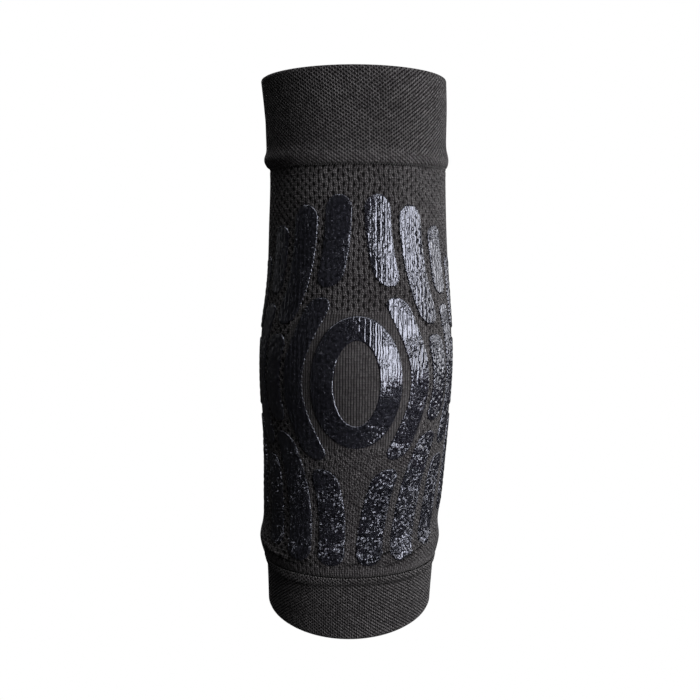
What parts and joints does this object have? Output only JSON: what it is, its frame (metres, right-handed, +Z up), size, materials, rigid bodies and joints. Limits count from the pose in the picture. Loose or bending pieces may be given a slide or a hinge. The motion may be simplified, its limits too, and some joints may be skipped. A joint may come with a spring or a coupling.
{
  "type": "elbow support sleeve",
  "caption": "Knitted tube sleeve worn over the elbow, with a welted cuff at each end and raised silicone grip strips that part round an oval ring at the point of the elbow.",
  "frame": {"origin": "middle of the hollow at the widest level of the elbow, where the arm sits", "axes": "+Z up along the arm to the upper cuff, -Y out of the point of the elbow, +X to the right of someone facing the point of the elbow"},
  "size_m": [0.0877, 0.089, 0.2448],
  "materials": {
    "body_knit": "coarse charcoal tuck knit with a fine ribbed zone at the elbow",
    "cuff_knit": "charcoal knit with a small staggered grain",
    "silicone": "glossy blue-black printed silicone"
  },
  "bodies": {
    "root": {"sleeve_body": "body_knit", "upper_cuff": "cuff_knit", "lower_cuff": "cuff_knit", "elbow_ring": "silicone", "left_strip_1_upper": "silicone", "left_strip_1_middle": "silicone", "left_strip_1_lower": "silicone", "left_strip_2_upper": "silicone", "left_strip_2_middle": "silicone", "left_strip_2_lower": "silicone", "left_strip_3_upper": "silicone", "left_strip_3_middle": "silicone", "left_strip_3_lower": "silicone", "left_strip_4_upper": "silicone", "left_strip_4_middle": "silicone", "left_strip_4_lower": "silicone", "right_strip_1_upper": "silicone", "right_strip_1_middle": "silicone", "right_strip_1_lower": "silicone", "right_strip_2_upper": "silicone", "right_strip_2_middle": "silicone", "right_strip_2_lower": "silicone", "right_strip_3_upper": "silicone", "right_strip_3_middle": "silicone", "right_strip_3_lower": "silicone", "right_strip_4_upper": "silicone", "right_strip_4_middle": "silicone", "right_strip_4_lower": "silicone"}
  },
  "joints": []
}
